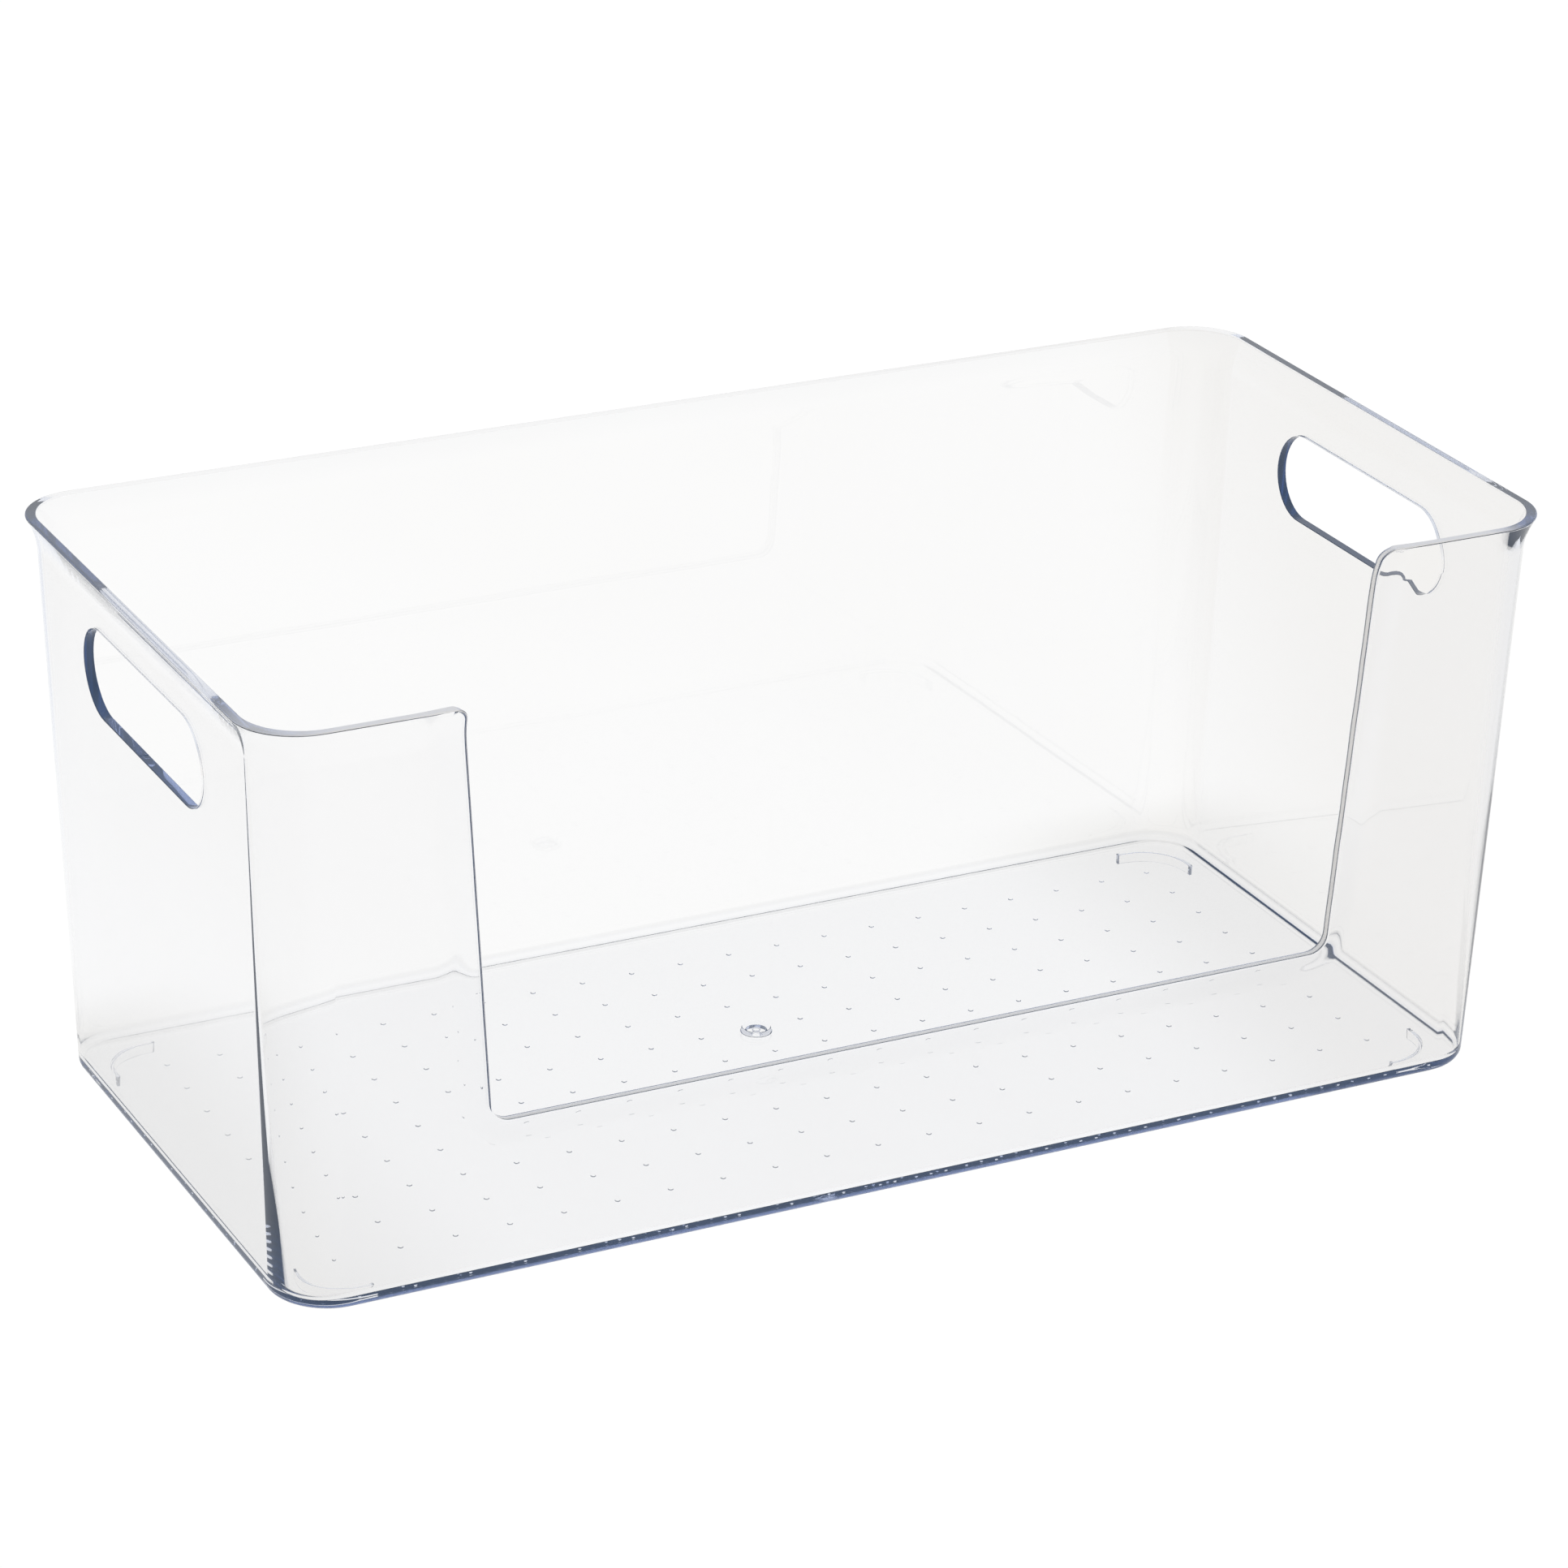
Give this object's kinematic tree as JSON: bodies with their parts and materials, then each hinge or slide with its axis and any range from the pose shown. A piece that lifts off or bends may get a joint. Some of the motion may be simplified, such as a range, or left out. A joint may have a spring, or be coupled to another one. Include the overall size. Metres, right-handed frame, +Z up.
{
  "type": "storage bin",
  "caption": "Clear open-front storage bin with a low front sill, a flared rim, a hand slot in each end wall and a thin curved rib for a foot under each corner.",
  "frame": {"origin": "middle of the footprint, on the plane the corner feet stand on", "axes": "+X along the bin's length to the right-hand end wall, +Y from the open front to the back wall, +Z up"},
  "size_m": [0.406, 0.196, 0.1796],
  "materials": {
    "clear_plastic": "clear, polished"
  },
  "bodies": {
    "root": {"bin_body": "clear_plastic"}
  },
  "joints": []
}
